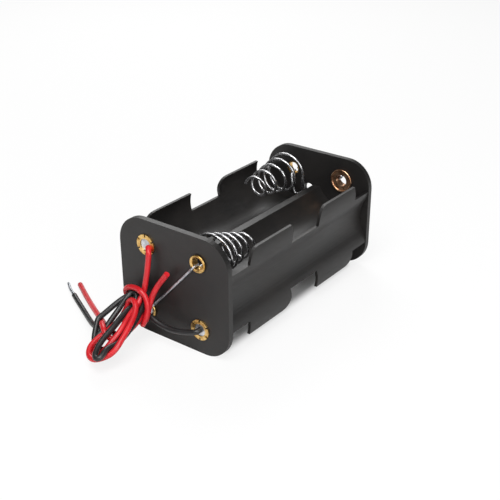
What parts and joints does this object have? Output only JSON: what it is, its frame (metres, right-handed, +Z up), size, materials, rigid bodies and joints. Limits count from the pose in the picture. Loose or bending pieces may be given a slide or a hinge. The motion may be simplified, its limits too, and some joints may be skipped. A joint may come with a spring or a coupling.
{
  "type": "cylindrical cell holder",
  "caption": "Open back-to-back holder for AA cells, with end plates, cone springs, hollow eyelet contacts and a tied bundle of red and black wire leads.",
  "frame": {"origin": "on the ground plane, midway between the outer faces of the end plates and midway across them, under the middle of the holder", "axes": "+X across the holder to the right seen from the end with the leads, +Y along the cells away from the leads, +Z up"},
  "size_m": [0.0562, 0.0798, 0.0284],
  "materials": {
    "black_plastic": "semi-gloss moulded black plastic",
    "contact_brass": "plain brass, worn bright on the rolled edge",
    "eyelet_brass": "plain brass",
    "spring_steel": "bright nickel-plated wire",
    "tinned_wire": "bright tinned copper wire",
    "solder": "bright solder",
    "red_insulation": "satin red vinyl",
    "black_insulation": "satin black vinyl"
  },
  "bodies": {
    "root": {"holder_body": "black_plastic", "contact_1": "contact_brass", "eyelet_1": "eyelet_brass", "spring_1": "spring_steel", "contact_2": "contact_brass", "eyelet_2": "eyelet_brass", "spring_2": "spring_steel", "contact_3": "contact_brass", "eyelet_3": "eyelet_brass", "spring_3": "spring_steel", "contact_4": "contact_brass", "eyelet_4": "eyelet_brass", "spring_4": "spring_steel", "link_near": "tinned_wire", "link_upper": "tinned_wire", "link_lower": "tinned_wire", "solder_red": "solder", "solder_black": "solder", "red_lead": "red_insulation", "black_lead": "black_insulation", "lead_hank": "red_insulation", "bundle_tie": "red_insulation", "red_free_end": "red_insulation", "black_free_end": "black_insulation", "black_tinned_tip": "tinned_wire"}
  },
  "joints": []
}
